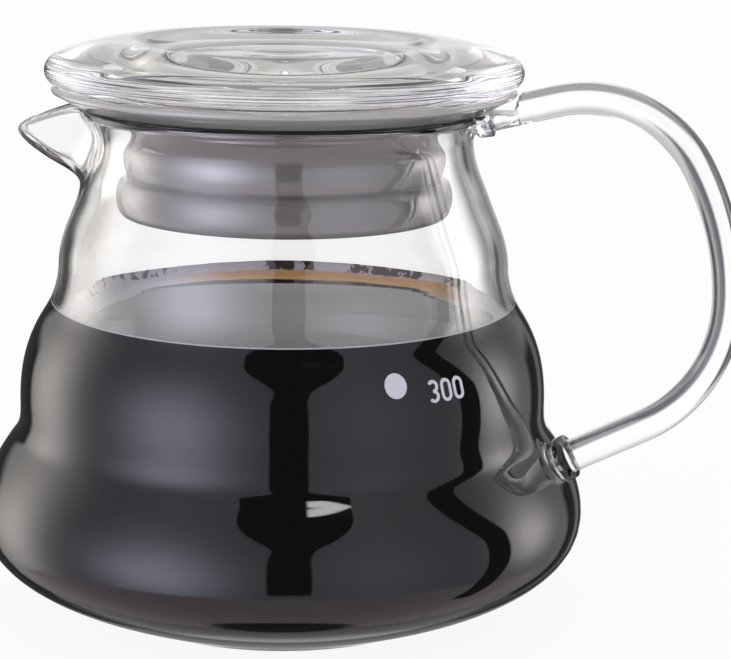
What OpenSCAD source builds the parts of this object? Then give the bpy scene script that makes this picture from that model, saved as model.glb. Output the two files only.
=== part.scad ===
// Coffee server carafe: a blown glass vessel with a wavy wall and a pinched spout,
// a solid glass loop handle, a pressed glass lid with a soft plug seal, and its coffee.
// Millimetres, +Z up. The origin is the middle of the flat base, +X points at the handle.

/* [Vessel wall] */
// Radius of the flat base, where the wall turns up
base_r = 30.9; // [28:0.1:34]
// Thickness of the glass under the coffee
base_t = 3; // [2.4:0.1:4]
// Thickness of the blown wall
wall = 2.2; // [1.6:0.1:2.6]
// Radius of the belly, the widest wave
belly_r = 53.5; // [51:0.1:57]
// Height of the belly
belly_z = 17.2; // [15:0.1:19]
// Radius where the wall falls in above the belly
belly_top_r = 47.7; // [46.8:0.1:49.5]
// Height where the wall falls in above the belly
belly_top_z = 31.1; // [29:0.1:33]
// Radius of the second wave
shoulder_r = 46.4; // [45:0.1:47.2]
// Height of the second wave
shoulder_z = 38.7; // [37:0.1:41]
// Radius where the wall falls in above the second wave
shoulder_top_r = 42.2; // [41:0.1:44]
// Height where the wall falls in above the second wave
shoulder_top_z = 52.7; // [50:0.1:55]
// Radius of the third wave
collar_r = 39.4; // [38:0.1:40.5]
// Height of the third wave
collar_z = 61.8; // [60:0.1:64]
// Radius where the wall falls in above the third wave
collar_top_r = 35.8; // [35:0.1:37]
// Height where the wall falls in above the third wave
collar_top_z = 73.4; // [72:0.1:75]
// Outer radius of the neck, the narrowest place
neck_r = 33; // [32:0.1:34.5]
// Height of the neck
neck_z = 81.8; // [80:0.1:83]
// Outer radius of the flared rim
rim_r = 35; // [34.5:0.1:36.5]
// Height of the top of the rim
rim_z = 89; // [87:0.1:92]

/* [Spout] */
// Distance from the axis to the outside of the spout's tip
spout_reach = 48.2; // [44:0.1:51]
// How far the tip lies below the rim
spout_drop = 5.3; // [3:0.1:7]
// Height at which the spout starts to leave the wall
spout_foot_z = 70; // [66:0.1:72.5]
// Half of the angle that the spout takes of the neck, in degrees
spout_half_angle = 22; // [18:1:28]
// Rounding of the tip as seen from above, in degrees
spout_tip_round = 1.7; // [1:0.1:3]

/* [Handle] */
// Thickness of the bar in the plane of the loop
handle_t = 5.5; // [4.5:0.1:6.5]
// Width of the bar across the loop
handle_w = 7.6; // [6.6:0.1:10]
// Distance from the axis to the middle of the bar at the back of the loop
handle_reach = 77.6; // [74:0.1:82]
// Height of the back of the loop
handle_back_z = 58; // [54:0.1:61]
// Height of the middle of the bar at the top of the loop, above the rim
handle_rise = 3; // [2:0.1:5]
// Radius of the bend at the top of the loop
handle_top_bend = 21.5; // [19:0.1:24]
// Radius of the long bend behind the top
handle_back_bend = 47.5; // [42:0.1:54]
// Radius of the bend below the back of the loop
handle_low_bend = 25.5; // [22:0.1:28]
// Depth of the upper joint below the rim
upper_joint_drop = 1.1; // [0.6:0.1:3]
// Height of the lower joint
lower_joint_z = 28.2; // [24:0.1:34]

/* [Welds] */
// Radius of the fused foot where it spreads on the wall
weld_foot_r = 6; // [5:0.1:7]
// Length of the fused foot along the bar
weld_len = 3.4; // [2.4:0.1:4.5]
// Depth to which the fused foot follows the wall
weld_root = 4; // [3:0.1:5]

/* [Lid] */
// Outer radius of the lid
lid_r = 41.5; // [41:0.1:43]
// Radius of the flat underside, inside the rounded edge
lid_foot_r = 38.4; // [37:0.1:39.5]
// Height of the lid's widest line above its underside
lid_edge_rise = 2.9; // [2.4:0.1:3.4]
// Radius at which the rounded edge runs into the sloping shoulder
lid_shoulder_r = 39; // [38:0.1:40]
// Height of that line above the underside
lid_shoulder_rise = 5.8; // [5:0.1:6.4]
// Radius of the crest round the dish
crest_r = 27.4; // [27:0.1:30]
// Height of the crest above the lid's underside
crest_rise = 7.9; // [7.2:0.1:8.6]
// Radius of the dish at the foot of its wall
dish_r = 22.6; // [21.6:0.1:25]
// Depth of the dish at the foot of its wall
dish_drop = 1.9; // [1.2:0.1:2.8]
// Further depth of the dish at its floor
dish_floor_drop = 0.3; // [0.1:0.1:0.8]
// Radius of the dish's floor
dish_floor_r = 21.2; // [18:0.1:22.4]
// Radius of the round mark in the middle of the dish
dimple_r = 9.5; // [7:0.1:12]
// Depth of the round mark
dimple_drop = 0.5; // [0.2:0.1:0.8]
// Outer radius of the lid's skirt, which carries the seal
skirt_r = 22.5; // [20:0.1:23]
// Wall of the lid's skirt
skirt_wall = 2.2; // [1.8:0.1:2.8]
// Length of the skirt below the lid
skirt_len = 21; // [16:0.1:23]

/* [Seal] */
// Radius of the seal's flange
flange_r = 40.3; // [38.5:0.1:40.5]
// Thickness of the seal's flange over the rim
flange_t = 2.9; // [2.2:0.1:3.4]
// Thickness of the flange at its edge
flange_edge_t = 0.9; // [0.6:0.1:1.6]
// Radius at which the flange's underside starts to taper
flange_foot_r = 36.2; // [35:0.1:38]
// Thickness of the seal's soft walls
seal_wall = 1.6; // [1.2:0.1:1.8]
// Gap between the seal's bell and the neck, where no rib fills it
bell_gap = 3.5; // [2.8:0.1:4]
// Length of the bell below the flange
bell_len = 19.4; // [16:0.1:22]
// How far the lower rib swells out of the bell
low_rib_out = 2; // [1:0.1:2.4]
// Height of the lower rib
low_rib_h = 6.8; // [5:0.1:8]
// How far the upper rib swells out of the bell
high_rib_out = 0.8; // [0.4:0.1:1.4]
// Height of the upper rib
high_rib_h = 10.2; // [7:0.1:10.6]
// Height by which the flange clears the rim at rest
seat_gap = 0.3; // [0.3:0.1:0.6]
// Clearance between the handle and the lid that lifts past it
lid_gap = 0.5; // [0.4:0.1:1]

/* [Coffee] */
// Height of the coffee
coffee_z = 52; // [30:0.5:58]
// Height to which the coffee's edge climbs the glass
meniscus = 2.2; // [1:0.1:3]

/* [Fill mark] */
// Height of the middle of the round mark
mark_z = 48.5; // [40:0.1:56]
// Diameter of the round mark
mark_d = 3.9; // [3:0.1:5]
// Angle of the round mark from the handle, in degrees
mark_angle = 53; // [40:1:70]
// Thickness of the fired print
print_t = 0.15; // [0.1:0.05:0.3]
// Height of the printed numerals
digit_h = 3.6; // [3:0.1:5]
// Width of one numeral
digit_w = 2.1; // [1.8:0.1:2.6]
// Stroke of the numerals
digit_stroke = 0.5; // [0.35:0.05:0.6]
// Distance from one numeral to the next
digit_pitch = 2.55; // [2.3:0.05:3.5]
// Distance from the round mark to the middle numeral, along the wall
digit_offset = 9.4; // [8:0.1:12]
// Drop of the numerals below the round mark
digit_drop = 1.5; // [0:0.1:3]

/* [Hidden] */
$fn = 96;

// Steps in one stretch of the wall's curve
curve_steps = 6;
// Steps round the lip of the rim
lip_steps = 5;
// Spacing of the spout's sections, in degrees
spout_step = 1.8;
// Spacing of the other sections of the neck, in degrees
neck_step = 6;
// How hard each stretch of the wall pulls along its lean
pull_share = 0.36;
// How late the spout leaves the wall
spout_ease = 2.3;
// Height of the spout's second row over its foot, so that its inside stays above the foot
foot_clear_share = 0.6;
// Sides of the handle's bar
bar_sides = 24;
// Squareness of the bar's section, where 1 is an ellipse
bar_square_share = 0.8;
// Spacing of the bar's sections round its bends, in degrees
bar_step = 4;
// Steps in one arc of a numeral
digit_steps = 10;
// Steps in one stretch of the lid's edge, and in one rib of the seal
edge_steps = 8;
// Steps in the dish's floor and in the coffee's curved edge
floor_steps = 6;
// Inset that seats the neck's sections on the wall below
seam_inset = 0.03;

// Lean of the wall from upright at each station, outward positive, in degrees
base_lean = 65;
belly_top_lean = -33;
shoulder_lean = -2;
shoulder_top_lean = -33;
collar_lean = -2;
collar_top_lean = -20;
neck_lean = 2;
rim_lean = 34;

// Lean of the lid's outline from upright on its way round from the underside, in degrees
lid_foot_lean = 90;
lid_shoulder_lean = -74;
crest_lean = -90;
dish_lean = -108;

lip_r = wall / 2;
rim_edge_z = rim_z - lip_r * (1 + sin(rim_lean));
stations = [
    [base_r, 0, base_lean],
    [belly_r, belly_z, 0],
    [belly_top_r, belly_top_z, belly_top_lean],
    [shoulder_r, shoulder_z, shoulder_lean],
    [shoulder_top_r, shoulder_top_z, shoulder_top_lean],
    [collar_r, collar_z, collar_lean],
    [collar_top_r, collar_top_z, collar_top_lean],
    [neck_r, neck_z, neck_lean],
    [rim_r, rim_edge_z, rim_lean]
];

// One stretch of the wall between two stations, as a cubic that follows both leans
function spot(s) = [s[0], s[1]];
function along(s) = [sin(s[2]), cos(s[2])];
function stretch(a, b, t) =
    let (reach = norm(spot(b) - spot(a)) * pull_share)
    let (p1 = spot(a) + reach * along(a))
    let (p2 = spot(b) - reach * along(b))
    pow(1 - t, 3) * spot(a) + 3 * pow(1 - t, 2) * t * p1
        + 3 * (1 - t) * t * t * p2 + pow(t, 3) * spot(b);

last = len(stations) - 1;
outer = concat(
    [for (i = [0 : last - 1]) for (k = [0 : curve_steps - 1])
        stretch(stations[i], stations[i + 1], k / curve_steps)],
    [spot(stations[last])]
);

// Outward normal of a line of points, and the line moved inward by a distance
function ahead(line, i) = line[min(i + 1, len(line) - 1)] - line[max(i - 1, 0)];
function normal(line, i) = let (d = ahead(line, i)) [d[1], -d[0]] / norm(d);
function inset(line, d) = [for (i = [0 : len(line) - 1]) line[i] - d * normal(line, i)];
inner = inset(outer, wall);

// Radius of a line of points at a height
function flip(line) = [for (p = line) [p[1], p[0]]];
function r_at(line, z) = lookup(z, flip(line));
function below(line, z) = concat([for (p = line) if (p[1] < z - seam_inset) p], [[r_at(line, z), z]]);
function above(line, z) = concat([[r_at(line, z), z]], [for (p = line) if (p[1] > z + seam_inset) p]);
function backward(line) = [for (i = [len(line) - 1 : -1 : 0]) line[i]];

// The cavity's outline up to a height
function cavity(z) = concat([[0, base_t]], above(below(inner, z), base_t));

// Spout: the share of its reach at an angle and at a height
spout_tip_share = pow(1 - spout_tip_round / spout_half_angle, 2);
spout_push = (spout_reach - rim_r) / spout_tip_share;
spout_sink = spout_drop / spout_tip_share;
function pinch(a) = pow(max(0, 1 - a / spout_half_angle), 2);
function pinch_slope(a) = 2 * max(0, 1 - a / spout_half_angle) / (spout_half_angle * PI / 180);
function rise(z) = pow(sin(90 * (z - spout_foot_z) / (rim_edge_z - spout_foot_z)), spout_ease);
neck_line = concat([[r_at(outer, spout_foot_z), spout_foot_z]],
    [for (p = outer) if (p[1] > spout_foot_z + wall * foot_clear_share) p]);
function pushed(share) =
    [for (p = neck_line) p + share * rise(p[1]) * [spout_push, -spout_sink]];

// One section of the neck, from the foot up the outside, round the lip and down the inside
function lip(a, b) =
    let (c = (a + b) / 2)
    let (u = (a - b) / 2)
    [for (k = [1 : lip_steps - 1]) let (t = 180 * k / lip_steps)
        c + cos(t) * u + sin(t) * [-u[1], u[0]]];
function section(angle) =
    let (n = len(neck_line) - 1)
    let (round = pushed(pinch(sqrt(angle * angle + spout_tip_round * spout_tip_round))))
    let (sharp = pushed(pinch(abs(angle))))
    let (lean = pinch_slope(abs(angle)))
    let (a = [for (i = [0 : n]) i == 0 ? round[i] - [seam_inset, 0] : round[i]])
    let (b = [for (i = [0 : n])
        let (side = lean * spout_push * rise(neck_line[i][1]) / sharp[i][0])
        i == 0 ? [r_at(inner, spout_foot_z) + seam_inset, spout_foot_z]
            : sharp[i] - wall * sqrt(1 + side * side) * normal(sharp, i)])
    concat(a, lip(a[n], b[n]), backward(b));
rows = len(section(spout_half_angle));

// Where the handle's bar meets the wall, and the bends between those two joints
upper_joint = [r_at(outer, rim_edge_z) - lip_r, rim_z - upper_joint_drop];
lower_joint = [r_at(outer, lower_joint_z), lower_joint_z];
back_centre = [handle_reach - handle_back_bend, handle_back_z];
low_centre = [handle_reach - handle_low_bend, handle_back_z];
bend_step = handle_back_bend - handle_top_bend;
top_climb = rim_z + handle_rise - handle_top_bend - handle_back_z;
back_angle = asin(top_climb / bend_step);
top_centre = back_centre + bend_step * [cos(back_angle), sin(back_angle)];
function heading(v) = atan2(v[1], v[0]);
function touch(c, r, p) = acos(r / norm(p - c));
top_angle = heading(upper_joint - top_centre) - touch(top_centre, handle_top_bend, upper_joint);
low_angle = heading(lower_joint - low_centre) + touch(low_centre, handle_low_bend, lower_joint);
function run(c, r, p) = sqrt(pow(norm(p - c), 2) - r * r);
upper_run = run(top_centre, handle_top_bend, upper_joint);
lower_run = run(low_centre, handle_low_bend, lower_joint);

// The bar's line from the upper joint to the lower one, as places and the way each faces
function facing(angle) = [cos(angle), sin(angle)];
function bend(centre, r, from, to) =
    let (n = ceil(abs(to - from) / bar_step))
    [for (k = [0 : n]) let (a = from + (to - from) * k / n) [centre + r * facing(a), a]];
function bend_end(centre, r, angle, reach) =
    [[centre + r * facing(angle) + reach * facing(angle + 90), angle]];
function rest_of(line) = [for (i = [1 : len(line) - 1]) line[i]];
bar_line = concat(
    bend_end(top_centre, handle_top_bend, top_angle, upper_run + handle_t),
    bend(top_centre, handle_top_bend, top_angle, back_angle),
    rest_of(bend(back_centre, handle_back_bend, back_angle, 0)),
    rest_of(bend(low_centre, handle_low_bend, 0, low_angle)),
    bend_end(low_centre, handle_low_bend, low_angle, -lower_run - handle_t)
);

// Section of the bar, a flattened round: offsets in the plane of the loop and across it
function bulge(v) = sign(v) * pow(abs(v), bar_square_share);
bar_section = [for (k = [0 : bar_sides - 1])
    let (t = 360 * (k + 0.5) / bar_sides)
    [bulge(cos(t)) * handle_t / 2, bulge(sin(t)) * handle_w / 2]];

// Heights of the lid and its seal
flange_z = rim_z + seat_gap;
lid_z = flange_z + flange_t;
crest_z = lid_z + crest_rise;
dish_edge_z = crest_z - dish_drop;
dish_z = dish_edge_z - dish_floor_drop;
bell_r = neck_r - wall - bell_gap;
bell_z = flange_z - bell_len;

// Outline of the lid's edge, shoulder and dish wall, from the underside up and in
lid_stations = [
    [lid_foot_r, lid_z, lid_foot_lean],
    [lid_r, lid_z + lid_edge_rise, 0],
    [lid_shoulder_r, lid_z + lid_shoulder_rise, lid_shoulder_lean],
    [crest_r, crest_z, crest_lean],
    [dish_r, dish_edge_z, dish_lean]
];

// One rib of the seal, from its foot upward
function rib(foot, h, out) =
    [for (k = [0 : edge_steps]) let (t = k / edge_steps) [bell_r + out * sin(180 * t), foot + h * t]];

// Length of the cutters that shape the print, from the axis to well outside the wall
print_reach = 2 * r_at(outer, mark_z);

glass = [0.78, 0.86, 0.88, 0.45];

// Base and wavy wall up to the foot of the spout
module wall_below() {
    rotate_extrude()
        polygon(concat([[0, 0]], below(outer, spout_foot_z),
                       backward(cavity(spout_foot_z))));
}

// Neck, rounded rim and pinched spout, lofted through sections all round
module neck() {
    n = ceil(spout_half_angle / spout_step) * 2;
    rest = 360 - 2 * spout_half_angle;
    m = ceil(rest / neck_step);
    angles = concat([for (j = [0 : n]) spout_half_angle * (2 * j / n - 1)],
                    [for (j = [1 : m - 1]) spout_half_angle + rest * j / m]);
    count = len(angles);
    sections = [for (a = angles) section(min(a, spout_half_angle))];
    points = [for (j = [0 : count - 1]) for (p = sections[j])
        [-p[0] * cos(angles[j]), -p[0] * sin(angles[j]), p[1]]];
    skin = [for (j = [0 : count - 1]) for (i = [0 : rows - 1])
        let (a = j * rows + i)
        let (b = j * rows + (i + 1) % rows)
        let (c = ((j + 1) % count) * rows + i)
        let (d = ((j + 1) % count) * rows + (i + 1) % rows)
        for (face = [[a, b, c], [b, d, c]]) face];
    polyhedron(points = points, faces = skin);
}

module vessel() {
    color(glass) {
        wall_below();
        neck();
    }
}

// The vessel's outside as one solid, to trim what is fused to it
module vessel_outside() {
    edge = len(outer) - 1;
    rotate_extrude($fn = 360) {
        polygon(concat([[0, 0]], outer, [[rim_r - lip_r, rim_z], [0, rim_z]]));
        polygon(concat([outer[edge]], lip(outer[edge], inner[edge]), [inner[edge]]));
    }
}

// Space that the lid and its seal pass through as the lid lifts off
module lid_path() {
    translate([0, 0, rim_z])
        cylinder(r = flange_r + lid_gap, h = flange_t + handle_rise + handle_t);
}

// The handle's bar, lofted through its sections from the upper joint to the lower one
module bar() {
    rings = len(bar_line);
    points = [for (station = bar_line) for (o = bar_section)
        let (place = station[0] + o[0] * facing(station[1]))
        [place[0], o[1], place[1]]];
    skin = [for (j = [0 : rings - 2]) for (i = [0 : bar_sides - 1])
        let (a = j * bar_sides + i)
        let (b = j * bar_sides + (i + 1) % bar_sides)
        for (face = [[a, b, a + bar_sides], [b, b + bar_sides, a + bar_sides]]) face];
    first = [for (i = [bar_sides - 1 : -1 : 0]) i];
    final = [for (i = [0 : bar_sides - 1]) (rings - 1) * bar_sides + i];
    polyhedron(points = points, faces = concat([first], skin, [final]));
}

// Places its children where the bar meets the wall, pointing on along the bar
module at_joint(joint, angle, way) {
    translate([joint[0], 0, joint[1]])
        rotate([0, (way > 0 ? 0 : 180) - angle, 0])
            children();
}

module handle() {
    color(glass)
        difference() {
            bar();
            vessel_outside();
            lid_path();
        }
}

// Flared foot of melted glass, its wide end sunk to the wall
module weld_foot() {
    tip_r = handle_w / 2;
    flare = [for (t = [0 : 15 : 90])
        [weld_foot_r - (weld_foot_r - tip_r) * sin(t), weld_len * (1 - cos(t))]];
    rotate_extrude()
        polygon(concat([[0, weld_len], [0, -weld_root], [weld_foot_r, -weld_root]], flare));
}

module lower_weld() {
    color(glass)
        difference() {
            at_joint(lower_joint, low_angle, -1)
                mirror([0, 0, 1])
                    weld_foot();
            vessel_outside();
            bar();
        }
}

module upper_weld() {
    color(glass)
        difference() {
            at_joint(upper_joint, top_angle, 1)
                mirror([0, 0, 1])
                    weld_foot();
            vessel_outside();
            bar();
            lid_path();
        }
}

module lid() {
    edge = [for (i = [0 : len(lid_stations) - 2]) for (k = [0 : edge_steps - 1])
        stretch(lid_stations[i], lid_stations[i + 1], k / edge_steps)];
    floor_line = [for (k = [0 : floor_steps]) let (t = k / floor_steps)
        [dish_r + (dish_floor_r - dish_r) * t, dish_edge_z - dish_floor_drop * sin(90 * t)]];
    dimple = [for (k = [0 : edge_steps]) let (t = k / edge_steps)
        [dimple_r * (1 - t), dish_z - dimple_drop * (1 - cos(180 * t)) / 2]];
    color(glass)
        rotate_extrude()
            polygon(concat(
                [[0, lid_z], [skirt_r - skirt_wall, lid_z],
                 [skirt_r - skirt_wall, lid_z - skirt_len], [skirt_r, lid_z - skirt_len],
                 [skirt_r, lid_z]],
                edge, floor_line, dimple));
}

// The seal: a tapered flange under the lid, a sleeve on the skirt and a bell with two ribs
module lid_seal() {
    edge_r = flange_edge_t / 2;
    flange_end = flange_r - edge_r;
    edge = [for (k = [-90 : 15 : 90])
        [flange_end + edge_r * cos(k), lid_z - edge_r + edge_r * sin(k)]];
    ribs = concat(rib(bell_z, low_rib_h, low_rib_out), rib(bell_z + low_rib_h, high_rib_h, high_rib_out));
    color([0.55, 0.56, 0.58, 0.85])
        rotate_extrude()
            polygon(concat(
                [[skirt_r, lid_z], [skirt_r, bell_z], [skirt_r + seal_wall, bell_z],
                 [skirt_r + seal_wall, flange_z], [bell_r - seal_wall, flange_z],
                 [bell_r - seal_wall, bell_z]],
                ribs, [[bell_r, flange_z], [flange_foot_r, flange_z]], edge));
}

module coffee() {
    edge = coffee_z + meniscus;
    surface = [for (k = [0 : floor_steps]) let (t = 90 * k / floor_steps)
        [r_at(inner, edge) - meniscus * (1 - cos(t)), edge - meniscus * sin(t)]];
    color([0.12, 0.07, 0.04])
        rotate_extrude()
            polygon(concat(cavity(edge), surface, [[0, coffee_z]]));
}

// Thin layer on the outside of the wall, between two heights
module print_skin(low, high, from, to) {
    line = above(below(outer, high), low);
    rotate([0, 0, -to])
        rotate_extrude(angle = to - from)
            polygon(concat(line, backward(inset(line, -print_t))));
}

module fill_dot() {
    spread = 2 * mark_d / belly_top_r * 180 / PI;
    color([0.9, 0.9, 0.92])
        intersection() {
            print_skin(mark_z - mark_d, mark_z + mark_d, mark_angle - spread, mark_angle + spread);
            rotate([0, 0, -mark_angle])
                translate([0, 0, mark_z])
                    rotate([0, 90, 0])
                        cylinder(d = mark_d, h = print_reach);
        }
}

// Points of an arc about a place
function arc(centre, r, from, to) =
    [for (k = [0 : digit_steps]) let (t = from + (to - from) * k / digit_steps)
        centre + r * [cos(t), sin(t)]];

// Upright slot shape with its two round ends at a height above and below the middle
module slot(half, r) {
    polygon(concat(arc([0, half], r, 0, 180), arc([0, -half], r, 180, 360)));
}

// Outline of a nought, upright, in the middle of its own place
module nought() {
    half = (digit_h - digit_w) / 2;
    difference() {
        slot(half, digit_w / 2);
        slot(half, digit_w / 2 - digit_stroke);
    }
}

// Outline of a three: two rings that share their middle stroke, each open to the left
module three() {
    ring = (digit_h + digit_stroke) / 4;
    for (k = [-1, 1])
        let (c = [ring - digit_w / 2, k * (ring - digit_stroke / 2)])
            polygon(concat(arc(c, ring, -k * 95, k * 150),
                           arc(c, ring - digit_stroke, k * 150, -k * 95)));
}

module digit(place) {
    angle = mark_angle - (digit_offset + place * digit_pitch) / r_at(outer, mark_z) * 180 / PI;
    rotate([0, 0, -angle])
        translate([0, 0, mark_z - digit_drop])
            rotate([90, 0, 90])
                linear_extrude(print_reach)
                    children();
}

module fill_number() {
    spread = 2 * digit_pitch / shoulder_top_r * 180 / PI;
    middle = mark_angle - digit_offset / r_at(outer, mark_z) * 180 / PI;
    z = mark_z - digit_drop;
    color([0.9, 0.9, 0.92])
        intersection() {
            print_skin(z - digit_h, z + digit_h, middle - spread, middle + spread);
            union() {
                digit(-1) three();
                digit(0) nought();
                digit(1) nought();
            }
        }
}

vessel();
handle();
upper_weld();
lower_weld();
lid();
lid_seal();
coffee();
fill_dot();
fill_number();
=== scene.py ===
import math

import bpy
import numpy as np
from mathutils import Matrix, Vector


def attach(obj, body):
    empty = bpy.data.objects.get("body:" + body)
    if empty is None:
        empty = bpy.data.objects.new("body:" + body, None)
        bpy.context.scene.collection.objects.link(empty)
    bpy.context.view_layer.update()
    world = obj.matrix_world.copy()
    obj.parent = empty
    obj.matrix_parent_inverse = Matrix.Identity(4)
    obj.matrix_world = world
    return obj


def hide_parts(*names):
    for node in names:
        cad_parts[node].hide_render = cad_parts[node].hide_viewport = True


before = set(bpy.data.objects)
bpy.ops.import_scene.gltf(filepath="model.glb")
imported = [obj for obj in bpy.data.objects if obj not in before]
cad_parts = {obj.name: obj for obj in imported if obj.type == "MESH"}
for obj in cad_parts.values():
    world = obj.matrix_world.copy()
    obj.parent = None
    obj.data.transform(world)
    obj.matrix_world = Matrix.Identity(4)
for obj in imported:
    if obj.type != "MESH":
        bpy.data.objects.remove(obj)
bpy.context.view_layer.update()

mm = 0.001
scene = bpy.context.scene
view_turn = math.radians(11)  # how far the carafe is turned in the photograph

# Light passes many walls of glass before it leaves the lid
scene.cycles.max_bounces = 40
scene.cycles.glossy_bounces = 32
scene.cycles.transmission_bounces = 32


# Sizes of the carafe, in millimetres, as in the part's drawing where no comment says otherwise

# Wall of the vessel: radius, height and lean from upright of each station. The waist leans 2.5
# degrees more than in the drawing, and the top station is 0.8 mm higher and leans 6 degrees more,
# so that the highlights fall where the photograph has them
wall_stations = [
    (30.9, 0, 65),
    (53.5, 17.2, 0),
    (47.7, 31.1, -35.5),
    (46.4, 38.7, -2),
    (42.2, 52.7, -33),
    (39.4, 61.8, -2),
    (35.8, 73.4, -20),
    (33, 82.6, -4),
]
wall = 2.2
base_t = 3
rim_r, rim_z, rim_lean = 35, 89, 34
lip_r = wall / 2
rim_edge_z = rim_z - lip_r * (1 + math.sin(math.radians(rim_lean)))
pull_share = 0.36
base_clear_share = 0.1

# Spout
spout_reach, spout_drop, spout_foot_z = 48.2, 5.3, 70
spout_half_angle, spout_tip_round = 22, 1.7
spout_ease = 2.3

# Handle
handle_t, handle_w = 5.5, 7.6
handle_reach, handle_back_z, handle_rise = 77.6, 58, 3
top_bend, back_bend, low_bend = 21.5, 47.5, 25.5
upper_joint_drop, lower_joint_z = 1.1, 28.2
bar_square_share = 0.8
weld_foot_r, weld_len = 6, 3.4

# Melted feet of the handle, finer than in the drawing: how flat each foot is, how deep and how
# wide it sits in the wall, how far its tip hides in the bar, its ridges, and how deep the bar goes
upper_weld_share, lower_weld_share = 0.58, 0.6
weld_depth, weld_brim, weld_neck_depth, weld_neck_brim = 2.0, 0.3, 0.5, 0.2
weld_tip_share, weld_ridges, weld_ridge_share = 0.9, 7, 0.02
upper_bar_depth, lower_bar_depth = 2, 1.5

# Lid and seal
lid_r, lid_foot_r, lid_edge_rise = 41.5, 38.4, 2.9
lid_shoulder_r, lid_shoulder_rise, lid_shoulder_lean = 39, 5.8, -74
crest_r, crest_rise = 27.4, 7.9
dish_r, dish_drop, dish_lean = 22.6, 1.9, -108
dish_floor_drop, dish_floor_r, dimple_r, dimple_drop = 0.3, 21.2, 9.5, 0.5
skirt_r, skirt_wall, skirt_len = 22.5, 2.2, 21
flange_r, flange_t, flange_edge_t, flange_foot_r, seal_wall = 40.3, 2.9, 0.9, 36.2, 1.6
bell_gap, bell_len = 3.5, 19.4
low_rib_out, low_rib_h, high_rib_out, high_rib_h = 2, 6.8, 0.8, 10.2
seat_gap, lid_gap = 0.3, 0.5
skirt_top_corner, skirt_end_corner, skirt_root_corner = 0.8, 1.0, 0.01
skirt_room, flat_room = 1, 0.2

# Forms of the seal that the drawing has plainer: its throat narrows towards the flange, its low
# lip has a fuller face, and the rubber grips the skirt and lies almost dry under the lid's edge
throat_in, throat_start_share = 3.2, 0.35
low_lip_fullness, high_lip_share = 0.32, 0.7
seal_grip, seal_dry = 0.03, 0.02
# Painted light on the seal: how far below and above the flange's underside the paler colour fades in
painted_light_below, painted_light_above = 3, 0.4
sleeve_end_corner, groove_corner = 0.3, 0.6
lid_air, lid_air_slope = 0.05, 9
neck_r = wall_stations[-1][0]
flange_z = rim_z + seat_gap
lid_z = flange_z + flange_t
crest_z = lid_z + crest_rise
dish_edge_z = crest_z - dish_drop
dish_z = dish_edge_z - dish_floor_drop
bell_r = neck_r - wall - bell_gap
bell_z = flange_z - bell_len

# Coffee, which wets the glass, and the edge of the foam on its face
coffee_z, meniscus = 52, 2.2
wall_wetting, base_wetting = 0.06, 0.05
foam_edge_r = 34

# How fine the meshes are: columns round each turned piece, and round the handle and its feet
lid_columns, seal_columns, coffee_columns = 256, 220, 256
bar_columns, weld_columns, weld_rows = 48, 96, 30
bar_bend_step = 1.2  # degrees
rib_steps = 36


# Curves

def lean_of(degrees):
    a = math.radians(degrees)
    return np.array([math.sin(a), math.cos(a)])


def stretch(a, b, steps):
    """One stretch of the wall between two stations, as a cubic that follows both leans."""
    start, end = np.array(a[:2], float), np.array(b[:2], float)
    pull = np.linalg.norm(end - start) * pull_share
    p1, p2 = start + pull * lean_of(a[2]), end - pull * lean_of(b[2])
    t = np.linspace(0, 1, steps, endpoint=False)[:, None]
    return (1 - t) ** 3 * start + 3 * (1 - t) ** 2 * t * p1 + 3 * (1 - t) * t**2 * p2 + t**3 * end


def wall_line(steps):
    """The outside of the wall from the base to the rim's edge, as radius and height."""
    stations = wall_stations + [(rim_r, rim_edge_z, rim_lean)]
    parts = [stretch(a, b, steps) for a, b in zip(stations, stations[1:])]
    return np.concatenate(parts + [np.array([stations[-1][:2]], float)])


def normals_of(line):
    ahead = np.gradient(line, axis=0)
    out = np.stack([ahead[:, 1], -ahead[:, 0]], axis=1)
    return out / np.linalg.norm(out, axis=1)[:, None]


def inset(line, distance):
    return line - distance * normals_of(line)


def radius_at(line, z):
    return float(np.interp(z, line[:, 1], line[:, 0]))


def arc(centre, r, start, end, steps):
    a = np.radians(np.linspace(start, end, steps + 1))
    return np.stack([centre[0] + r * np.cos(a), centre[1] + r * np.sin(a)], axis=1)


def softened(corners, steps=6):
    """An outline whose corners, each a place and a radius, are rounded."""
    n = len(corners)
    points = []
    for i, (x, z, r) in enumerate(corners):
        here = np.array([x, z], float)
        if r == 0:
            points.append(here)
            continue
        before = np.array(corners[i - 1][:2], float) - here
        after = np.array(corners[(i + 1) % n][:2], float) - here
        before, after = before / np.linalg.norm(before), after / np.linalg.norm(after)
        half = math.acos(max(-1, min(1, float(before @ after)))) / 2
        reach = r / math.tan(half)
        middle = before + after
        centre = here + middle / np.linalg.norm(middle) * r / math.sin(half)
        first, last = here + before * reach - centre, here + after * reach - centre
        turn = math.acos(max(-1, min(1, float(first @ last) / r**2)))
        for k in range(steps + 1):
            t = k / steps
            blend = math.sin((1 - t) * turn) * first + math.sin(t * turn) * last
            points.append(centre + blend / math.sin(turn))
    return np.array(points)


# Meshes

def under_lid(points):
    """Keeps glass near the rim below the seal's edge."""
    away = np.hypot(points[:, 0], points[:, 1])
    room = rim_z - lid_air + np.clip(away - flange_r - lid_gap, 0, None) * lid_air_slope
    points[:, 2] = np.minimum(points[:, 2], room)
    return points


def fuse(whole, parts):
    """Melts the parts into the whole, so that no inner faces are left at the joints."""
    for part in parts:
        union = whole.modifiers.new("weld", "BOOLEAN")
        union.operation, union.solver, union.object = "UNION", "MANIFOLD", part
        mesh = bpy.data.meshes.new_from_object(whole.evaluated_get(bpy.context.evaluated_depsgraph_get()))
        whole.modifiers.clear()
        whole.data = mesh
        bpy.data.objects.remove(part)
    whole.data.shade_smooth()


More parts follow.
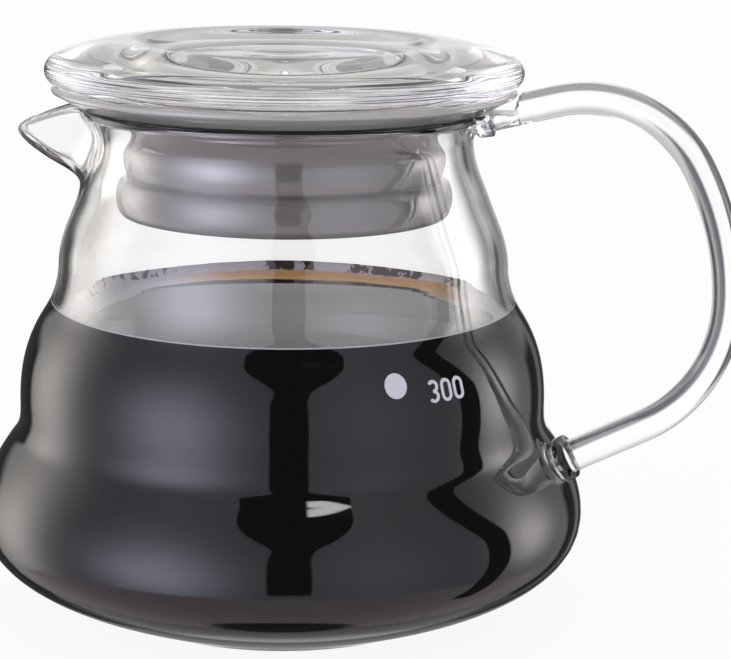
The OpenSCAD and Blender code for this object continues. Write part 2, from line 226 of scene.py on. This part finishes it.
def make_piece(name, points, faces, material):
    """A smooth shaded mesh in metres."""
    points = np.asarray(points, float) * mm
    tris = np.array([(f[0], f[k], f[k + 1]) for f in faces for k in range(1, len(f) - 1)])
    a, b, c = points[tris[:, 0]], points[tris[:, 1]], points[tris[:, 2]]
    if np.einsum("ij,ij->i", a, np.cross(b, c)).sum() < 0:
        faces = [f[::-1] for f in faces]
    mesh = bpy.data.meshes.new(name)
    mesh.from_pydata(points.tolist(), [], [tuple(map(int, f)) for f in faces])
    mesh.validate()
    mesh.shade_smooth()
    piece = bpy.data.objects.new(name, mesh)
    scene.collection.objects.link(piece)
    mesh.materials.append(material)
    return piece


def stand_in(piece, body, slot, *nodes):
    """Fixes a piece to its body in place of nodes of the drawing."""
    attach(piece, body)
    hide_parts(*nodes)


def grid_faces(rows, columns, wrap_rows=False):
    """Faces of a grid of points whose columns close round."""
    faces = []
    for i in range(rows if wrap_rows else rows - 1):
        a, b = i * columns, (i + 1) % rows * columns
        for j in range(columns):
            k = (j + 1) % columns
            faces.append((a + j, a + k, b + k, b + j))
    return faces


def capped(points, rows, columns):
    """Faces of a grid with its first and last row drawn together on the axis."""
    faces = grid_faces(rows, columns)
    first, last = len(points), len(points) + 1
    ends = [points[:columns].mean(axis=0), points[-columns:].mean(axis=0)]
    tail = (rows - 1) * columns
    faces += [(first, (j + 1) % columns, j) for j in range(columns)]
    faces += [(last, tail + j, tail + (j + 1) % columns) for j in range(columns)]
    return np.concatenate([points, ends]), faces


def revolved(line, columns, closed=False):
    """Points and faces of an outline turned about the axis."""
    a = np.radians(np.arange(columns) * 360 / columns)
    rows = len(line)
    r, z = line[:, 0][:, None], line[:, 1][:, None]
    points = np.stack([r * np.cos(a), r * np.sin(a), z + 0 * a], axis=2).reshape(-1, 3)
    if closed:
        return points, grid_faces(rows, columns, wrap_rows=True)
    return capped(points, rows, columns)


# Materials

class Value:
    """One value in a node tree. Sums of values add Math nodes."""

    def __init__(self, recipe, socket):
        self.recipe, self.socket = recipe, socket

    def maths(self, operation, *terms):
        return self.recipe.maths(operation, *terms)

    def __add__(self, other):
        return self.maths("ADD", self, other)

    def __sub__(self, other):
        return self.maths("SUBTRACT", self, other)

    def __rsub__(self, other):
        return self.maths("SUBTRACT", other, self)

    def __mul__(self, other):
        return self.maths("MULTIPLY", self, other)

    def __truediv__(self, other):
        return self.maths("DIVIDE", self, other)

    def __pow__(self, other):
        return self.maths("POWER", self, other)

    def __neg__(self):
        return self.maths("MULTIPLY", self, -1)

    def __abs__(self):
        return self.maths("ABSOLUTE", self)

    __radd__ = __add__
    __rmul__ = __mul__


class Recipe:
    """The node tree of a material or of the studio round the carafe."""

    def __init__(self, owner):
        owner.use_nodes = True
        self.tree = owner.node_tree
        self.tree.nodes.clear()

    def node(self, kind, settings=None, sockets=None):
        """Adds a node with its settings, then feeds its sockets with numbers, colours or values."""
        made = self.tree.nodes.new("ShaderNode" + kind)
        for name, setting in (settings or {}).items():
            setattr(made, name, setting)
        for name, given in (sockets or {}).items():
            if isinstance(given, Value):
                self.tree.links.new(given.socket, made.inputs[name])
            else:
                made.inputs[name].default_value = given
        return made

    def read(self, made, output=0):
        return Value(self, made.outputs[output])

    def maths(self, operation, *terms):
        return self.read(self.node("Math", {"operation": operation}, dict(enumerate(terms))))

    def vectors(self, operation, *terms, **sockets):
        given = {**dict(enumerate(terms)), **sockets}
        return self.read(self.node("VectorMath", {"operation": operation}, given))

    def mix(self, factor, first, second):
        """A mix of two colours."""
        sockets = {0: factor, 6: first, 7: second}
        return self.read(self.node("Mix", {"data_type": "RGBA"}, sockets), 2)

    def rise(self, given, low, high):
        """Nought below one value and one above the other, with a smooth way between."""
        sockets = {"Value": given, "From Min": low, "From Max": high}
        return self.read(self.node("MapRange", {"interpolation_type": "SMOOTHSTEP"}, sockets))

    def between(self, given, low, high, soft):
        """One between two values and nought beyond them, with soft edges."""
        return self.rise(given, low - soft, low + soft) * (1 - self.rise(given, high - soft, high + soft))

    def noise(self, scale, detail=2, stretch=(1, 1, 1), roughness=0.5):
        place = self.read(self.node("TexCoord"), "Object")
        placed = self.vectors("MULTIPLY", place, stretch)
        sockets = {"Vector": placed, "Scale": scale, "Detail": detail, "Roughness": roughness}
        return self.read(self.node("TexNoise", None, sockets))

    def bump(self, height, distance, strength=1.0):
        sockets = {"Height": height, "Distance": distance, "Strength": strength}
        return self.read(self.node("Bump", None, sockets))


def see_through(recipe, glass):
    """Lets lamplight and soft light through the glass, so that what it holds is lit."""
    path = recipe.node("LightPath")
    soft = recipe.maths("MAXIMUM", recipe.read(path, "Is Shadow Ray"), recipe.read(path, "Is Diffuse Ray"))
    clear = recipe.read(recipe.node("BsdfTransparent"))
    return recipe.read(recipe.node("MixShader", None, {0: soft, 1: glass, 2: clear}))


def new_material(name, display):
    material = bpy.data.materials.new(name)
    material.diffuse_color = (*display, 1)
    return material, Recipe(material)


def show(recipe, surface):
    recipe.node("OutputMaterial", None, {"Surface": surface})


def glass_material(name, tint, wave_depth, scale):
    """Clear glass with the faint waves that blowing, drawing or pressing leaves on it."""
    material, recipe = new_material(name, tint)
    height = recipe.noise(scale, 1)
    glass = recipe.node("BsdfPrincipled", None, {
        "Base Color": (*tint, 1),
        "Roughness": 0.0,
        "IOR": 1.5,
        "Transmission Weight": 1.0,
        "Normal": recipe.bump(height, wave_depth),
    })
    show(recipe, see_through(recipe, recipe.read(glass)))
    return material


def coffee_material():
    """Black coffee against the glass, which gives its gloss."""
    material, recipe = new_material("coffee", (0.02, 0.012, 0.008))
    body = recipe.node("BsdfPrincipled", None, {
        "Base Color": (0.0028, 0.0024, 0.0024, 1),
        "Roughness": 0.08,
        "IOR": 1.05,
    })
    show(recipe, recipe.read(body))
    return material


def coffee_top_material():
    """The coffee's face: black, with golden foam along the far wall, brown dregs on the glass, and painted
    light in the thin film of coffee up the glass.
    """
    material, recipe = new_material("coffee_top", (0.05, 0.03, 0.02))
    place = recipe.node("SeparateXYZ", None, {0: recipe.read(recipe.node("TexCoord"), "Object")})
    x, y, z = (recipe.read(place, i) for i in range(3))

    # How far up the wetted edge, and the angle round from the far side, to the right, in degrees
    climb = (z - coffee_z * mm) / (meniscus * mm)
    sideways = x * math.cos(view_turn) + y * math.sin(view_turn)
    onward = y * math.cos(view_turn) - x * math.sin(view_turn)
    turn = recipe.maths("ARCTAN2", sideways, onward) * (180 / math.pi)
    away = recipe.maths("SQRT", x**2 + y**2)
    grain = recipe.noise(1500, 3, (1, 1, 1), 0.7)
    cloud = recipe.noise(420, 3, (1, 1, 0.8), 0.65)
    patch = recipe.noise(60, 2, (1, 1, 0))

    warm = recipe.between(turn, -30, 58, 14)
    golden = recipe.mix(grain, (0.4, 0.17, 0.035, 1), (0.76, 0.46, 0.18, 1))
    pale = recipe.mix(grain, (0.3, 0.29, 0.3, 1), (0.62, 0.6, 0.62, 1))
    foam = recipe.mix(warm, pale, golden)
    foam_r = (foam_edge_r - patch * 5) * mm
    on_face = recipe.rise(away - foam_r, 0, 0.0012) * recipe.between(turn, -95, 80, 12)
    # Painted light: the thin film of coffee up the glass is painted pale grey, for the backdrop's light that
    # shines through it
    film_painted_light = recipe.mix(cloud, (0.4, 0.39, 0.4, 1), (0.66, 0.64, 0.66, 1))
    brown = recipe.mix(cloud, (0.01, 0.006, 0.004, 1), (0.07, 0.035, 0.02, 1))
    dregs = recipe.between(turn, -8, 7, 2) + recipe.between(turn, 16, 42, 3)
    dregs = dregs + recipe.between(turn, 50, 59, 1.5)
    dregs = dregs + recipe.between(turn, -76, -34, 8) * 0.7
    dregs = recipe.rise(dregs * 0.45 + cloud * 1.5, 1.05, 1.2) * recipe.rise(climb + cloud * 0.5, 0.5, 0.62)
    edge = recipe.mix(recipe.rise(climb, 0.2, 0.4), foam, film_painted_light)
    edge = recipe.mix(dregs, edge, brown)
    face = recipe.mix(on_face, (0.006, 0.004, 0.003, 1), foam)
    colour = recipe.mix(recipe.rise(climb, 0.001, 0.01), face, edge)
    dull = recipe.maths("MAXIMUM", on_face, recipe.rise(climb, 0.001, 0.05))
    body = recipe.node("BsdfPrincipled", None, {
        "Base Color": colour,
        "Roughness": dull * 0.4 + 0.02,
        "IOR": 1.33,
        "Normal": recipe.bump(grain * dull, 0.0002),
    })
    show(recipe, recipe.read(body))
    return material


def silicone_material():
    """Milky grey silicone with a soft gloss, and painted light on its thin flange."""
    material, recipe = new_material("silicone", (0.4, 0.4, 0.42))
    cloud = recipe.noise(90, 3)
    colour = recipe.mix(cloud, (0.155, 0.14, 0.128, 1), (0.18, 0.163, 0.15, 1))
    place = recipe.node("SeparateXYZ", None, {0: recipe.read(recipe.node("TexCoord"), "Object")})

    # Painted light: the thin flange is painted paler, for the light that shines through the rubber there,
    # and the paler colour goes over to it along the throat
    pale = recipe.rise(recipe.read(place, "Z"), (flange_z - painted_light_below) * mm, (flange_z + painted_light_above) * mm)
    colour = recipe.mix(pale, colour, (0.4, 0.385, 0.36, 1))
    body = recipe.node("BsdfPrincipled", None, {
        "Base Color": colour,
        "Roughness": 0.07,
        "IOR": 1.8,
        "Normal": recipe.bump(recipe.noise(45, 2), 0.00003),
    })
    show(recipe, recipe.read(body))
    return material


def print_material():
    """Fired enamel print, pale and a little uneven."""
    material, recipe = new_material("print", (0.75, 0.76, 0.8))
    speck = recipe.noise(2500, 3)
    colour = recipe.mix(speck, (0.56, 0.57, 0.6, 1), (0.66, 0.67, 0.7, 1))
    body = recipe.node("BsdfPrincipled", None, {
        "Base Color": colour,
        "Roughness": recipe.noise(1800, 2) * 0.2 + 0.35,
        "IOR": 1.5,
        "Normal": recipe.bump(speck, 0.00001),
    })
    show(recipe, recipe.read(body))
    return material


blown_glass = glass_material("blown_glass", (0.985, 0.99, 0.985), wave_depth=0.00004, scale=18)
drawn_glass = glass_material("drawn_glass", (0.955, 0.955, 0.968), wave_depth=0.00003, scale=60)
pressed_glass = glass_material("pressed_glass", (0.875, 0.868, 0.848), wave_depth=0.00003, scale=40)
coffee_dark = coffee_material()
coffee_shine = coffee_top_material()
silicone = silicone_material()
enamel = print_material()


# Vessel with its pinched spout

def pinch(a):
    return max(0.0, 1 - a / spout_half_angle) ** 2


def pinch_slope(a):
    return 2 * max(0.0, 1 - a / spout_half_angle) / math.radians(spout_half_angle)


def make_vessel():
    steps = 14
    outer = wall_line(steps)
    tip_share = (1 - spout_tip_round / spout_half_angle) ** 2
    push = np.array([(spout_reach - rim_r) / tip_share, -spout_drop / tip_share])
    over_foot = np.clip((outer[:, 1] - spout_foot_z) / (rim_edge_z - spout_foot_z), 0, 1)
    ease = np.sin(np.pi / 2 * over_foot) ** spout_ease
    base_edge = np.linspace([0, 0], outer[0], 12, endpoint=False)
    inside_base = np.linspace([0, base_t], [radius_at(inset(outer, wall), base_t), base_t], 12)

    def section(a):
        round_line = outer + pinch(math.hypot(a, spout_tip_round)) * ease[:, None] * push
        sharp = outer + pinch(abs(a)) * ease[:, None] * push
        side = pinch_slope(abs(a)) * push[0] * ease / sharp[:, 0]
        inner = sharp - wall * np.sqrt(1 + side**2)[:, None] * normals_of(sharp)
        inner = inner[inner[:, 1] > base_t + wall * base_clear_share]
        top, end = round_line[-1], inner[-1]
        middle, u = (top + end) / 2, (top - end) / 2
        t = np.radians(np.arange(1, 12) * 180 / 12)[:, None]
        lip = middle + np.cos(t) * u + np.sin(t) * np.array([-u[1], u[0]])
        return np.concatenate([base_edge, round_line, lip, inner[::-1], inside_base[::-1]])

    fine = np.arange(-spout_half_angle, spout_half_angle + 0.1, 0.5)
    coarse = np.linspace(spout_half_angle, 360 - spout_half_angle, 220)[1:-1]
    angles = np.concatenate([fine, coarse])
    sections = [section(a if a <= spout_half_angle else spout_half_angle) for a in angles]
    rows = min(len(s) for s in sections)
    assert all(len(s) == rows for s in sections), "the vessel's sections differ in length"
    grid = np.array(sections).transpose(1, 0, 2)
    turn = np.radians(angles)
    points = np.stack([-grid[:, :, 0] * np.cos(turn), -grid[:, :, 0] * np.sin(turn), grid[:, :, 1]], axis=2)
    points, faces = capped(points.reshape(-1, 3), rows, len(angles))
    return make_piece("vessel_glass", points, faces, blown_glass)


# Handle

def unit(angle):
    return np.array([math.cos(math.radians(angle)), math.sin(math.radians(angle))])


def handle_stations():
    """Places along the bar from the upper joint to the lower one, and the way each faces."""
    outer = wall_line(24)
    upper = np.array([rim_r - lip_r, rim_z - upper_joint_drop])
    lower = np.array([radius_at(outer, lower_joint_z), lower_joint_z])
    back_c = np.array([handle_reach - back_bend, handle_back_z])
    low_c = np.array([handle_reach - low_bend, handle_back_z])
    climb = rim_z + handle_rise - top_bend - handle_back_z
    back_angle = math.degrees(math.asin(climb / (back_bend - top_bend)))
    top_c = back_c + (back_bend - top_bend) * unit(back_angle)

    def tangent(centre, r, joint, way):
        d = joint - centre
        touch = math.degrees(math.acos(r / np.linalg.norm(d)))
        return math.degrees(math.atan2(d[1], d[0])) - way * touch, math.sqrt(d @ d - r * r)

    top_angle, upper_run = tangent(top_c, top_bend, upper, 1)
    low_angle, lower_run = tangent(low_c, low_bend, lower, -1)
    line = []
    for s in np.linspace(upper_run + upper_bar_depth, 0, 40, endpoint=False):
        line.append((top_c + top_bend * unit(top_angle) + s * unit(top_angle + 90), top_angle))
    for centre, r, start, end in ((top_c, top_bend, top_angle, back_angle),
                                  (back_c, back_bend, back_angle, 0), (low_c, low_bend, 0, low_angle)):
        n = max(2, int(abs(end - start) / bar_bend_step))
        line += [(centre + r * unit(a), a) for a in np.linspace(start, end, n, endpoint=False)]
    for s in np.linspace(0, lower_run + lower_bar_depth, 30):
        line.append((low_c + low_bend * unit(low_angle) - s * unit(low_angle + 90), low_angle))
    return line, (upper, top_angle), (lower, low_angle)


def bar_outline(sides):
    t = np.radians((np.arange(sides) + 0.5) * 360 / sides)
    bulge = lambda v: np.sign(v) * np.abs(v) ** bar_square_share
    return bulge(np.cos(t)) * handle_t / 2, bulge(np.sin(t)) * handle_w / 2


def make_handle(line):
    up, across = bar_outline(bar_columns)
    rings = []
    for place, angle in line:
        flat = place + up[:, None] * unit(angle)
        rings.append(np.stack([flat[:, 0], across, flat[:, 1]], axis=1))
    points, faces = capped(under_lid(np.concatenate(rings)), len(rings), bar_columns)
    return make_piece("handle_bar", points, faces, drawn_glass)


def make_weld(name, joint, angle, way, squash):
    """Flared foot of melted glass with soft ridges where it was pressed on."""
    place = np.array(joint)
    ahead = unit(angle + 90) * way
    side = np.array([-ahead[1], ahead[0]])
    tip_r = handle_w / 2 * weld_tip_share
    outline = [(0.0, -weld_depth), (weld_foot_r + weld_brim, -weld_depth),
               (weld_foot_r + weld_neck_brim, -weld_neck_depth)]
    for k in range(weld_rows + 1):
        t = math.radians(90 * k / weld_rows)
        flare = weld_foot_r - (weld_foot_r - tip_r) * math.sin(t)
        outline.append((flare, weld_len * (1 - math.cos(t))))
    outline.append((0.0, weld_len))
    points = []
    for r, h in reversed(outline):
        flat = place - ahead * h
        for j in range(weld_columns):
            a = 2 * math.pi * j / weld_columns
            ridge = 1 + weld_ridge_share * math.sin(weld_ridges * a) * min(1.0, r / tip_r)
            p = flat + side * r * ridge * math.cos(a) * squash
            points.append((p[0], r * ridge * math.sin(a), p[1]))
    points, faces = capped(under_lid(np.array(points)), len(outline), weld_columns)
    return make_piece(name, points, faces, drawn_glass)


# Lid and seal

def make_lid():
    inner, end = skirt_r - skirt_wall, lid_z - skirt_len
    skirt = softened([
        (inner, lid_z, skirt_top_corner), (inner, end, skirt_end_corner),
        (skirt_r, end, skirt_end_corner), (skirt_r, lid_z, skirt_root_corner),
        (lid_foot_r, lid_z, 0), (0, lid_z, 0)], 8)[:-2]
    under = np.linspace([0, lid_z], [inner - skirt_room, lid_z], 20, endpoint=False)
    flat = np.linspace([skirt_r + flat_room, lid_z], [lid_foot_r, lid_z], 20, endpoint=False)
    stations = [
        (lid_foot_r, lid_z, 90), (lid_r, lid_z + lid_edge_rise, 0),
        (lid_shoulder_r, lid_z + lid_shoulder_rise, lid_shoulder_lean),
        (crest_r, crest_z, -90), (dish_r, dish_edge_z, dish_lean)]
    edge = [stretch(a, b, 40) for a, b in zip(stations, stations[1:])]
    t = np.linspace(0, 1, 50)[1:, None]
    floor = np.concatenate([dish_r + (dish_floor_r - dish_r) * t,
                            dish_edge_z - dish_floor_drop * np.sin(np.pi / 2 * t)], axis=1)
    plain = np.linspace([dish_floor_r, dish_z], [dimple_r, dish_z], 16, endpoint=False)[1:]
    dimple = np.concatenate([dimple_r * (1 - t), dish_z - dimple_drop * (1 - np.cos(np.pi * t)) / 2], axis=1)
    line = np.concatenate([under, skirt, flat, *edge, floor, plain, dimple])
    points, faces = revolved(line, lid_columns)
    return make_piece("lid_glass", points, faces, pressed_glass)


def rib(foot, height, out, fullness=1.0):
    """One swelling of the seal's bell, from its foot upward. A low fullness gives it a flat face."""
    t = (1 - np.cos(np.pi * np.linspace(0, 1, rib_steps))) / 2
    return np.stack([bell_r + out * np.sin(np.pi * t) ** fullness, foot + height * t], axis=1)


def make_seal():
    """The rubber grips the lid's skirt without any air between, and lies dry under its edge."""
    edge_r, sleeve_r = flange_edge_t / 2, skirt_r + seal_wall
    inside = softened([
        (skirt_r - seal_grip, lid_z - seal_dry, 0), (skirt_r - seal_grip, bell_z, sleeve_end_corner),
        (sleeve_r, bell_z, groove_corner), (sleeve_r, flange_z, groove_corner),
        (bell_r - seal_wall, flange_z, groove_corner), (bell_r - seal_wall, bell_z, groove_corner)], 6)
    t = np.linspace(0, 1, 24)[:, None]
    throat_z = bell_z + low_rib_h + throat_start_share * high_rib_h
    throat = np.concatenate([bell_r + high_rib_out - throat_in * np.sin(np.pi / 2 * t) ** 2,
                             throat_z + (flange_z - throat_z) * t], axis=1)
    ribs = [rib(bell_z, low_rib_h, low_rib_out, low_lip_fullness)[1:-1],
            rib(bell_z + low_rib_h, high_rib_h * high_lip_share, high_rib_out)[:rib_steps // 2], throat]
    root = np.linspace([bell_r, flange_z], [flange_foot_r, flange_z], 10)
    edge = arc((flange_r - edge_r, lid_z - edge_r - seal_dry), edge_r, -75, 90, 16)
    line = np.concatenate([inside, *ribs, root, edge])
    points, faces = revolved(line, seal_columns, closed=True)
    return make_piece("seal", points, faces, silicone)


# Coffee

def make_coffee():
    """The coffee stands a hair into the glass, so that no air shows between them."""
    inner = inset(wall_line(24), wall - wall_wetting)
    edge = coffee_z + meniscus
    body = inner[(inner[:, 1] > base_t) & (inner[:, 1] < edge)]
    start_r, start_z = radius_at(inner, base_t), base_t - base_wetting
    under = np.linspace([0, start_z], [start_r, start_z], 16, endpoint=False)
    r_edge = radius_at(inner, edge)
    t = np.radians(np.linspace(0, 90, 12))
    curve = np.stack([r_edge - meniscus * (1 - np.cos(t)), edge - meniscus * np.sin(t)], axis=1)
    top = np.linspace(curve[-1], [0, coffee_z], 24)[1:]
    line = np.concatenate([under, body, curve, top])
    points, faces = revolved(line, coffee_columns)
    piece = make_piece("coffee_body", points, faces, coffee_dark)
    piece.data.materials.append(coffee_shine)
    first_of_top = (len(under) + len(body) - 1) * coffee_columns
    lowest_of_top = (coffee_z - wall_wetting) * mm
    for polygon in piece.data.polygons:
        if min(polygon.vertices) >= first_of_top and polygon.center.z > lowest_of_top:
            polygon.material_index = 1
    return piece


glass = make_vessel()
bar_line, upper_joint, lower_joint = handle_stations()
fuse(glass, [make_handle(bar_line),
             make_weld("upper_weld", *upper_joint, -1, upper_weld_share),
             make_weld("lower_weld", *lower_joint, 1, lower_weld_share)])
stand_in(glass, "carafe", "glass", "vessel", "handle", "upper_weld", "lower_weld")
stand_in(make_lid(), "lid", "lid_glass", "lid")
stand_in(make_seal(), "lid", "silicone", "lid_seal")
stand_in(make_coffee(), "carafe", "coffee", "coffee")
for name in ("fill_dot", "fill_number"):
    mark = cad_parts[name]
    mark.data.materials.clear()
    mark.data.materials.append(enamel)


# Studio: a light tent with an opening towards the camera

# Light of the tent's walls, where 1 is white. Azimuths run from the camera, 0, to its right, 90
side_wall, back_wall, bright_back = (0.64, 0.64, 0.735, 1), (0.58, 0.58, 0.572, 1), (1, 1, 1, 1)
back_strips, table_top, foot_shadow = (1.3, 1.3, 1.29, 1), (1.02, 0.88, 0.96, 1), (0.1, 0.1, 0.1, 1)
opening_dark, ceiling_slit = (0.07, 0.07, 0.072, 1), (10, 10, 10, 1)

# Lamps on the tent: azimuth, height, width and tallness in degrees, strength and colour
tent_lamps = [
    (-45, -3, 24, 30, 2.9, (0.93, 0.93, 1.17)),
    (-114, 0, 18, 28, 2.6, (1.08, 1.0, 0.93)),
    (106, 2, 14, 18, 3.5, (1.06, 1.0, 0.95)),
    (38, 5, 26, 40, 0.4, (1.0, 0.97, 1.08)),
    (0, 90, 500, 30, 0.6, (1.0, 1.0, 1.0)),
]

# Opening in front, in degrees: where its middle is, how far that drifts to the right higher up,
# half its width, and how much wider it gets at the top
opening_at, opening_drift, opening_half, opening_flare = 4.4, 3.8, 8.2, 21

# Floor and backdrop, in metres: the floor's size, how far it lies below the base, and how much of
# it is plain white
floor_size, floor_drop, white_share = 12, 0.0002, 0.92
white = (1, 1, 1, 1)


def make_studio():
    world = bpy.data.worlds.new("studio")
    scene.world = world
    recipe = Recipe(world)
    way = recipe.read(recipe.node("TexCoord"), "Generated")
    turned = recipe.read(recipe.node("VectorRotate", {"rotation_type": "Z_AXIS"},
                                     {"Vector": way, "Angle": -view_turn}))
    split = recipe.node("SeparateXYZ", None, {0: turned})
    x, y, z = (recipe.read(split, i) for i in range(3))
    degree = 180 / math.pi
    azimuth = recipe.maths("ARCTAN2", x, -y) * degree
    height = recipe.maths("ARCSINE", z) * degree

    def glow(at_azimuth, at_height, width, tall, strength, colour):
        distance = ((azimuth - at_azimuth) / width) ** 2 + ((height - at_height) / tall) ** 2
        share = recipe.maths("EXPONENT", -distance) * strength
        return recipe.vectors("SCALE", colour, Scale=share)

    between = recipe.between
    light = recipe.mix(recipe.rise(abs(azimuth), 105, 140), side_wall, back_wall)
    for lamp in tent_lamps:
        light = recipe.vectors("ADD", light, glow(*lamp))
    behind = recipe.rise(abs(azimuth), 160, 170) * between(height, -58, 10, 7)
    light = recipe.mix(behind, light, bright_back)
    strips = between(abs(azimuth), 130, 165, 5) * between(height, 26, 44, 4)
    light = recipe.mix(strips, light, back_strips)
    table = recipe.rise(-height, 26, 31) * (1 - recipe.rise(abs(azimuth), 115, 135))
    light = recipe.mix(table, light, table_top)
    light = recipe.mix(1 - recipe.rise(height, -79, -74), light, foot_shadow)

    # Dark gaps between the back wall and the side walls, with a lighter stripe, and its dark ledge
    gaps = between(abs(azimuth), 138, 168, 3) - between(azimuth, 150, 157, 2) * 0.5
    gaps = gaps * between(height, -42, 2, 3)
    ledge = recipe.rise(abs(azimuth), 140, 146) * between(height, -46, -22, 3) * 0.75
    gaps = recipe.maths("MAXIMUM", gaps, ledge)
    from_middle = abs(azimuth - recipe.rise(height, 20, 40) * opening_drift - opening_at)
    half_width = recipe.rise(height, 28, 50) * opening_flare + opening_half
    inside = 1 - recipe.rise(from_middle - half_width, -0.6, 0.6)
    opening = inside * between(height, -21, 60, 1.5)
    slant = recipe.maths("MAXIMUM", height - 12, 0) * 0.3
    side_gap = between(azimuth + slant, 83.5, 95, 0.7) * between(height, -45, 60, 1.5)
    dark = recipe.maths("MAXIMUM", gaps, recipe.maths("MAXIMUM", side_gap, opening))
    light = recipe.mix(dark, light, opening_dark)
    slit = between(azimuth, 15, 38, 1.5) * between(height, 50.9, 53, 0.4)
    light = recipe.mix(slit, light, ceiling_slit)
    path = recipe.node("LightPath")
    seen = recipe.read(path, "Is Camera Ray")
    light = recipe.mix(seen, light, white)
    background = recipe.read(recipe.node("Background", None, {"Color": light, "Strength": 1.0}))
    recipe.node("OutputWorld", None, {"Surface": background})


def make_floor():
    """A plain white floor that shows only the carafe's soft shadow."""
    material, recipe = new_material("white_floor", (1, 1, 1))
    cloth = recipe.read(recipe.node("BsdfDiffuse", None, {"Color": (0.9, 0.9, 0.9, 1)}))
    glowing = recipe.read(recipe.node("Emission", None, {"Color": white, "Strength": 1.0}))
    share = recipe.read(recipe.node("LightPath"), "Is Camera Ray") * white_share
    show(recipe, recipe.read(recipe.node("MixShader", None, {0: share, 1: cloth, 2: glowing})))
    bpy.ops.mesh.primitive_plane_add(size=floor_size)
    floor = bpy.context.object
    floor.name = "floor"
    floor.data.materials.append(material)
    floor.location.z = -floor_drop
    floor.visible_glossy = False
    floor.visible_transmission = False


# The photograph's view, found from the rings and the outline of the carafe, in metres, degrees
# and, for the lens, pixels of the photograph 731 wide
camera_aside, camera_away, camera_up = 0.01449, 0.4308, 0.14223
camera_pitch, camera_roll = 12.188, 0.748
focal_px, picture_w = 2488.45, 731


def make_camera():
    pitch, roll = math.radians(camera_pitch), math.radians(camera_roll)
    across = Vector((math.cos(view_turn), math.sin(view_turn), 0))
    level = Vector((-math.sin(view_turn), math.cos(view_turn), 0))
    forward = level * math.cos(pitch) - Vector((0, 0, 1)) * math.sin(pitch)
    up = across.cross(forward)
    right = across * math.cos(roll) + up * math.sin(roll)
    top = up * math.cos(roll) - across * math.sin(roll)
    place = across * camera_aside - level * camera_away + Vector((0, 0, camera_up))
    data = bpy.data.cameras.new("camera")
    data.sensor_width = 36
    data.lens = focal_px / picture_w * data.sensor_width
    data.clip_start, data.clip_end = 0.01, 50
    camera = bpy.data.objects.new("camera", data)
    camera.matrix_world = Matrix((
        (right.x, top.x, -forward.x, place.x), (right.y, top.y, -forward.y, place.y),
        (right.z, top.z, -forward.z, place.z), (0, 0, 0, 1)))
    scene.collection.objects.link(camera)
    scene.camera = camera


make_studio()
make_floor()
make_camera()
scene.view_settings.view_transform = "Standard"
